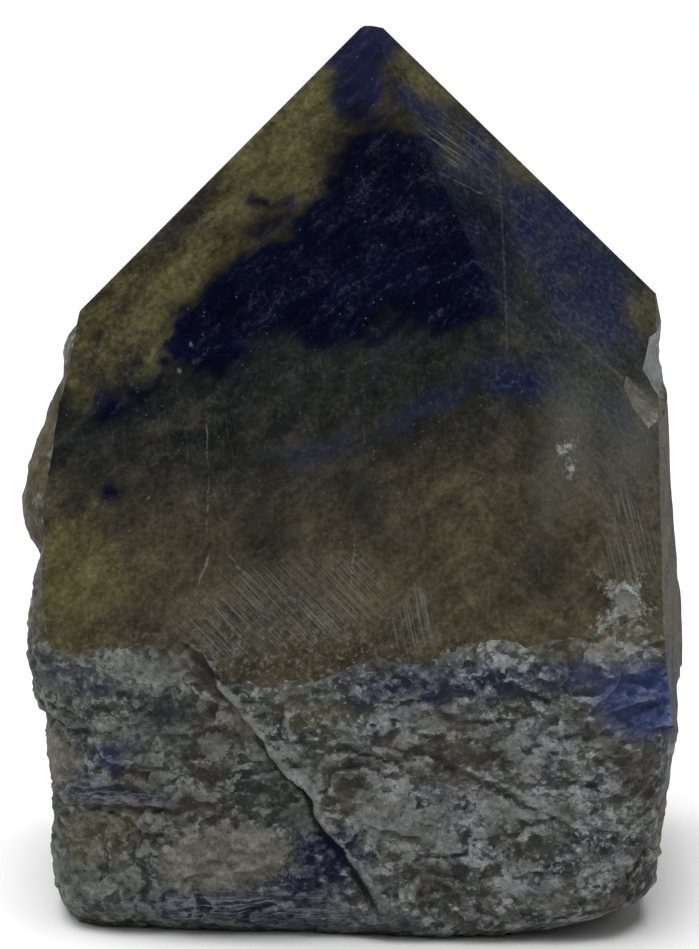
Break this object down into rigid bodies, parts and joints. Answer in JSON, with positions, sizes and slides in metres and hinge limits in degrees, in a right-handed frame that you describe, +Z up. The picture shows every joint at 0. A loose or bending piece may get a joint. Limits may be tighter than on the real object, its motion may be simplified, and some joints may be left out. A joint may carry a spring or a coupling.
{
  "type": "sodalite point",
  "caption": "Standing sodalite point: a rough, broken block of stone whose upper part is ground and polished into flat facets that meet in a tip.",
  "frame": {"origin": "middle of the flat spot that the stone stands on, on the surface below it", "axes": "+Z up towards the tip, +X to the right along the width, -Y towards the large front facet, +Y through the thickness to the back"},
  "size_m": [0.0706, 0.0499, 0.0897],
  "materials": {
    "sodalite": "satin"
  },
  "bodies": {
    "root": {"sodalite_stone": "sodalite"}
  },
  "joints": []
}
